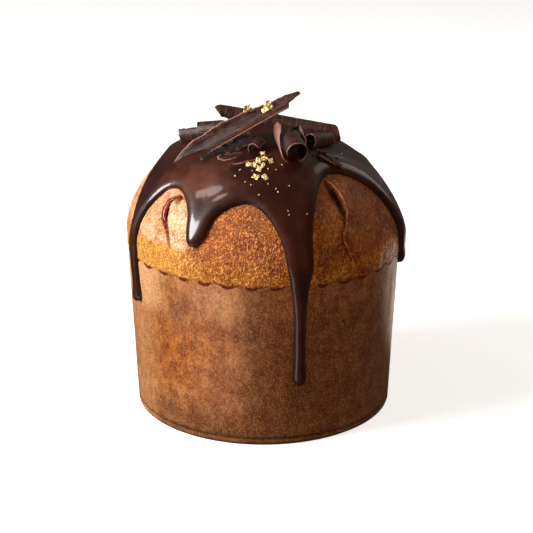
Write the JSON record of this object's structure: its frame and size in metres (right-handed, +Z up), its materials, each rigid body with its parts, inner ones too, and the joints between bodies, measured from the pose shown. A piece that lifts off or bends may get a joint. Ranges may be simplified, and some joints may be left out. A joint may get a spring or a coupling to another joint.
{
  "type": "panettone",
  "caption": "Domed panettone in a tapered scalloped paper baking case, with dripping dark chocolate glaze and a heap of shaved chocolate curls and gold leaf on top.",
  "frame": {"origin": "centre of the flat underside of the paper case, where the loaf rests", "axes": "+Z up along the loaf's axis; -Y is the front, the side the picture shows; +X is the loaf's right as seen from the front"},
  "size_m": [0.1387, 0.1391, 0.161],
  "materials": {
    "crust": "baked golden-brown crust",
    "case_paper": "brown greaseproof baking paper, slightly glossy",
    "chocolate_glaze": "glossy dark chocolate",
    "shaved_chocolate": "dull dark chocolate"
  },
  "bodies": {
    "root": {"loaf": "crust", "paper_case": "case_paper", "glaze": "chocolate_glaze", "shard_long": "shaved_chocolate", "shard_under": "shaved_chocolate", "quill_back": "shaved_chocolate", "quill_left": "shaved_chocolate", "curl_big": "shaved_chocolate", "roll_right": "shaved_chocolate", "splinter": "shaved_chocolate", "curl_small": "shaved_chocolate", "shard_front": "shaved_chocolate", "strip_front": "shaved_chocolate", "flake_right": "shaved_chocolate", "chip_middle": "shaved_chocolate", "curl_rear": "shaved_chocolate", "flake_rear": "shaved_chocolate"}
  },
  "joints": []
}
